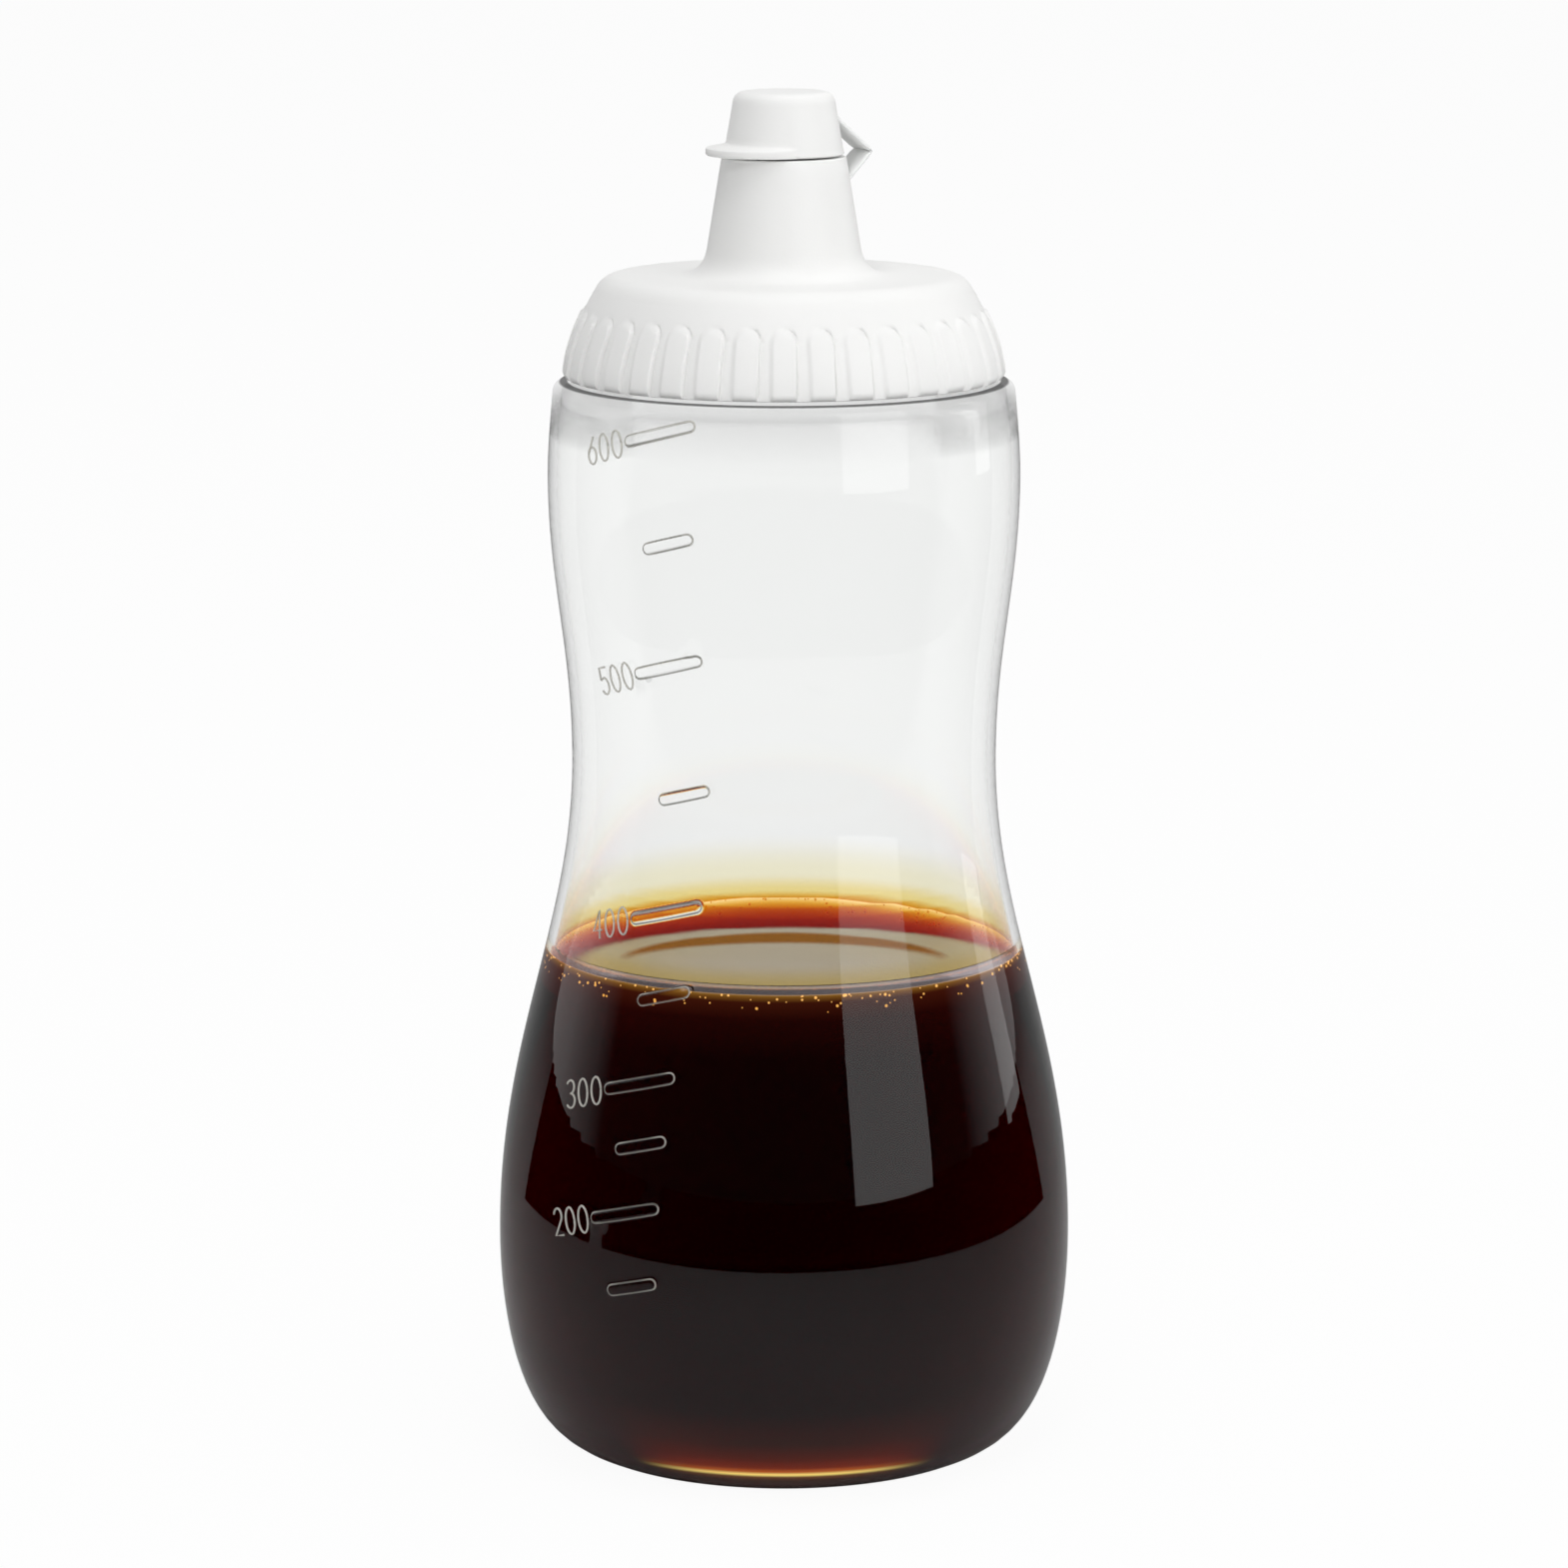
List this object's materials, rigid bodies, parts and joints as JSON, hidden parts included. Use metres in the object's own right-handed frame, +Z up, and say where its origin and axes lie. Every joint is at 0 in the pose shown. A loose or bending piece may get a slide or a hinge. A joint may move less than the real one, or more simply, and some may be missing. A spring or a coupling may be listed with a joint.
{
  "type": "condiment squeeze bottle",
  "caption": "Clear waisted squeeze bottle half full of dark sauce, with a fluted screw cap, a conical pouring spout and a small flip lid.",
  "frame": {"origin": "middle of the base, on the surface the bottle stands on", "axes": "+Z up along the bottle's axis; +X towards the lid's hinge strap, -X towards the lid's thumb lip"},
  "size_m": [0.0848, 0.0848, 0.2],
  "materials": {
    "clear_plastic": "clear, glossy, thin blown wall",
    "sauce_liquid": "dark red-brown liquid, amber where thin",
    "white_plastic": "white, satin, moulded",
    "strap_plastic": "white, thin and slightly see-through",
    "seal_rubber": "pale grey, soft"
  },
  "bodies": {
    "container": {"bottle": "clear_plastic", "sauce": "sauce_liquid"},
    "seal": {"sealing_ring": "seal_rubber"},
    "cap": {"screw_cap": "white_plastic", "hinge_strap_lower": "strap_plastic"},
    "lid": {"flip_lid": "white_plastic", "hinge_strap_upper": "strap_plastic"}
  },
  "joints": [
    {"name": "cap_lift", "type": "slide", "parent": "container", "child": "seal", "axis": [0, 0, 1], "range_m": [0, 0.0076]},
    {"name": "cap_turn", "type": "hinge", "parent": "seal", "child": "cap", "pos_m": [0, 0, 0.165], "axis": [0, 0, 1], "range_deg": [0, 540]},
    {"name": "lid_swing", "type": "hinge", "parent": "cap", "child": "lid", "pos_m": [0.0127, 0, 0.1912], "axis": [0, 1, 0], "range_deg": [0, 180]}
  ],
  "couplings": [
    {"joint": "cap_lift", "follows": "cap_turn", "m_per_rad": 0.00079577}
  ]
}
